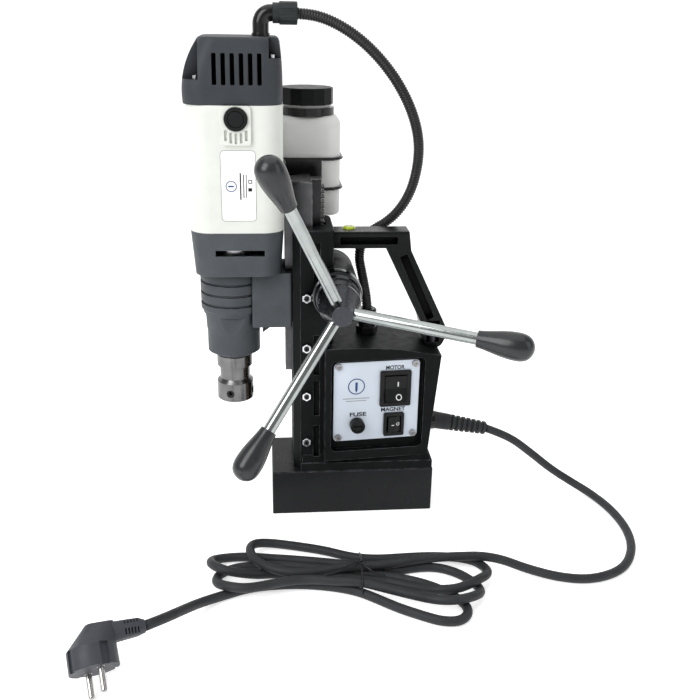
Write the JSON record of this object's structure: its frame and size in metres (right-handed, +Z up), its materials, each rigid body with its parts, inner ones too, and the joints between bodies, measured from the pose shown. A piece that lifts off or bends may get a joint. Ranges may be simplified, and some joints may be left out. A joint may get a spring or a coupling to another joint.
{
  "type": "magnetic drill press",
  "caption": "Portable drilling machine held by a switched magnet, with a motor carriage fed down a dovetail column by a spoked hand wheel.",
  "frame": {"origin": "centre of the magnet's underside, on the work surface", "axes": "+Z up along the column; +X from the drill towards the carrying handle; -Y towards the operator, the side with the switch panel and hand wheel"},
  "size_m": [0.5182, 0.4121, 0.4953],
  "materials": {
    "magnet_enamel": "semi-gloss black enamel",
    "machined_steel": "ground and machined",
    "zinc_steel": "bright zinc",
    "dark_steel": "blued",
    "copper_coil": "enamelled copper wire",
    "potting_resin": "cast resin",
    "black_casting": "semi-gloss black paint on cast aluminium",
    "grey_casting": "dark bluish grey paint on cast aluminium",
    "panel_alu": "brushed",
    "switch_plastic": "black",
    "circuit_board": "printed board with components",
    "level_fluid": "tinted liquid in clear acrylic",
    "bronze": "sintered bronze",
    "gunmetal": "turned and blued",
    "bright_chrome": "polished",
    "knob_plastic": "charcoal",
    "cord_rubber": "dark grey",
    "conduit_plastic": "black corrugated",
    "gland_plastic": "black",
    "nut_plastic": "dark grey-green",
    "motor_white": "off-white",
    "cap_grey": "dark bluish grey",
    "carbon": "graphite",
    "bottle_plastic": "translucent white",
    "nickel": "nickel plated"
  },
  "bodies": {
    "stand": {"magnet_body": "magnet_enamel", "magnet_coil": "copper_coil", "coil_potting": "potting_resin", "stand_housing": "black_casting", "housing_bolts": "dark_steel", "control_panel": "panel_alu", "panel_screws": "zinc_steel", "motor_switch_body": "switch_plastic", "magnet_switch_body": "switch_plastic", "fuse_holder_body": "switch_plastic", "control_board": "circuit_board", "carry_handle": "black_casting", "handle_screws": "dark_steel", "level_vial": "level_fluid", "gib_strip": "bronze", "gib_screws": "zinc_steel", "gib_lock_nuts": "zinc_steel", "pinion_flange": "gunmetal", "pinion_bushes": "bronze", "cord_gland": "gland_plastic", "cord_strain_relief": "cord_rubber", "power_cord": "cord_rubber", "cord_hank": "cord_rubber", "cord_tie": "conduit_plastic", "cord_tail": "cord_rubber", "plug_body": "cord_rubber", "plug_pins": "nickel", "conduit_gland": "gland_plastic", "motor_conduit": "conduit_plastic"},
    "carriage": {"slide_bar": "machined_steel", "feed_rack": "machined_steel", "motor_bracket": "grey_casting", "bracket_bolts": "dark_steel", "gearbox_collar": "grey_casting", "gear_nose": "grey_casting", "motor_housing": "motor_white", "motor_cap": "cap_grey", "cap_screws": "zinc_steel", "brush_caps": "switch_plastic", "carbon_brushes": "carbon", "motor_stator": "dark_steel", "conduit_elbow": "gland_plastic", "elbow_gland_nut": "nut_plastic", "bottle_bracket": "magnet_enamel", "bottle_wires": "dark_steel", "coolant_bottle": "bottle_plastic", "bearings": "machined_steel"},
    "feed": {"pinion_shaft": "machined_steel", "feed_hub": "gunmetal", "feed_spokes": "bright_chrome", "feed_knobs": "knob_plastic"},
    "spindle": {"arbor": "machined_steel", "arbor_set_screws": "dark_steel", "spindle_gear": "machined_steel"},
    "armature": {"armature": "dark_steel"},
    "idler": {"idler_gear": "machined_steel"},
    "motor_switch": {"motor_rocker": "switch_plastic"},
    "magnet_switch": {"magnet_rocker": "switch_plastic"},
    "fuse": {"fuse_cap": "switch_plastic"},
    "bottle_lid": {"bottle_cap": "gland_plastic"}
  },
  "joints": [
    {"name": "carriage_slide", "type": "slide", "parent": "stand", "child": "carriage", "axis": [0, 0, 1], "range_m": [-0.085, 0.035], "deforming": ["motor_conduit"]},
    {"name": "feed_turn", "type": "hinge", "parent": "stand", "child": "feed", "pos_m": [-0.0195, 0, 0.238], "axis": [0, 1, 0], "range_deg": [-434, 179.5]},
    {"name": "spindle_turn", "type": "hinge", "parent": "carriage", "child": "spindle", "pos_m": [-0.1185, 0, 0.2], "axis": [0, 0, 1], "continuous": true},
    {"name": "armature_turn", "type": "hinge", "parent": "carriage", "child": "armature", "pos_m": [-0.1115, 0, 0.34], "axis": [0, 0, 1], "continuous": true},
    {"name": "idler_turn", "type": "hinge", "parent": "carriage", "child": "idler", "pos_m": [-0.115, -0.01969, 0.27], "axis": [0, 0, 1], "continuous": true},
    {"name": "motor_switch_rock", "type": "hinge", "parent": "stand", "child": "motor_switch", "pos_m": [0.04088, -0.03363, 0.1367], "axis": [0.9956, 0.0941, 0], "range_deg": [0, 18]},
    {"name": "magnet_switch_rock", "type": "hinge", "parent": "stand", "child": "magnet_switch", "pos_m": [0.04029, -0.03369, 0.0975], "axis": [0, 0, -1], "range_deg": [0, 18]},
    {"name": "fuse_cap_turn", "type": "hinge", "parent": "stand", "child": "fuse", "pos_m": [0.00261, -0.03785, 0.0994], "axis": [0.0941, -0.9956, 0], "range_deg": [0, 90]},
    {"name": "bottle_cap_turn", "type": "hinge", "parent": "carriage", "child": "bottle_lid", "pos_m": [-0.043, 0.0724, 0.41], "axis": [0, 0, 1], "range_deg": [0, 360]}
  ],
  "couplings": [
    {"joint": "feed_turn", "follows": "carriage_slide", "rad_per_m": 88.889},
    {"joint": "idler_turn", "follows": "armature_turn", "ratio": -0.19048},
    {"joint": "spindle_turn", "follows": "armature_turn", "ratio": 0.06015}
  ]
}
